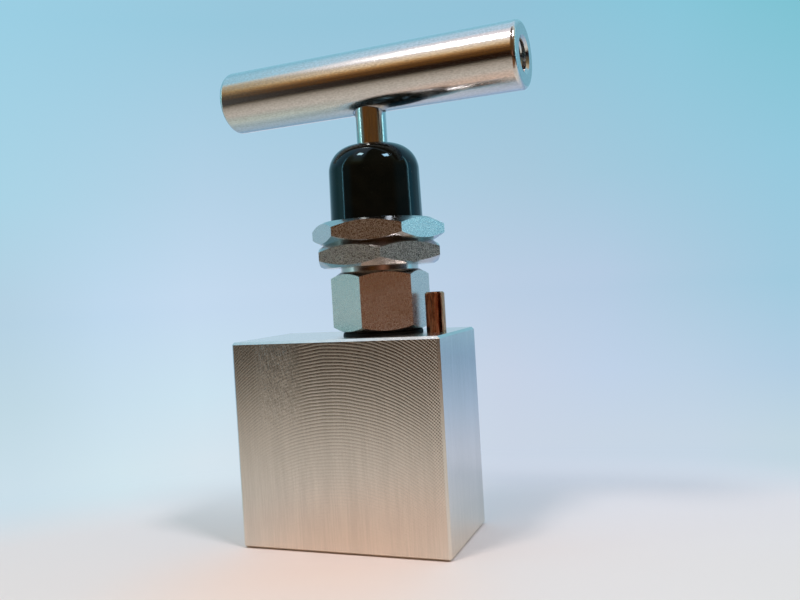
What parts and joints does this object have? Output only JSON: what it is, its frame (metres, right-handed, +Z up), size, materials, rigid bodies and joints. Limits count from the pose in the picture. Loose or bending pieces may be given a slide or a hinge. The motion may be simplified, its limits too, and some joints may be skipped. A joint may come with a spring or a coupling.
{
  "type": "instrument needle valve block",
  "caption": "Instrument block valve: rectangular steel block with female pipe ports, screwed bonnet, panel nuts, dust cap, rising non-rotating-tip stem and T-bar handle.",
  "frame": {"origin": "on the stem axis, in the block's bottom face, which is also the middle of the box under the part", "axes": "+Z up the stem from the block to the T bar, +X along the block's front face towards its right side, where the lock pin is, +Y from the front face to the back"},
  "size_m": [0.0656, 0.026, 0.1],
  "materials": {
    "milled_steel": "face-milled stainless steel",
    "turned_steel": "turned stainless steel",
    "nut_steel": "stainless steel, bead-rough flats",
    "bar_steel": "drawn bright steel bar",
    "stem_steel": "polished stainless steel",
    "spring_steel": "rolled spring steel",
    "screw_steel": "black oxide",
    "packing_ptfe": "white PTFE",
    "seal_rubber": "black rubber",
    "cap_vinyl": "glossy black vinyl"
  },
  "bodies": {
    "body": {"valve_block": "milled_steel", "bonnet": "turned_steel", "bonnet_seal_ring": "seal_rubber", "bonnet_lock_pin": "spring_steel", "lower_packing_washer": "turned_steel", "packing_ring_1": "packing_ptfe", "packing_ring_2": "packing_ptfe", "packing_ring_3": "packing_ptfe", "packing_ring_4": "packing_ptfe", "upper_packing_washer": "turned_steel", "packing_adjuster": "turned_steel", "lower_panel_nut": "nut_steel", "upper_panel_nut": "nut_steel"},
    "needle": {"needle_tip": "stem_steel"},
    "handle": {"stem": "stem_steel", "t_bar": "bar_steel", "handle_set_screw": "screw_steel"},
    "cap": {"dust_cap": "cap_vinyl"}
  },
  "joints": [
    {"name": "needle_lift", "type": "slide", "parent": "body", "child": "needle", "axis": [0, 0, 1], "range_m": [0, 0.004]},
    {"name": "handle_turn", "type": "hinge", "parent": "needle", "child": "handle", "pos_m": [0, 0, 0.0935], "axis": [0, 0, 1], "range_deg": [0, 1350]},
    {"name": "cap_lift", "type": "slide", "parent": "body", "child": "cap", "axis": [0, 0, 1], "range_m": [0, 0.006]}
  ],
  "couplings": [
    {"joint": "needle_lift", "follows": "handle_turn", "m_per_rad": 0.00016844}
  ]
}
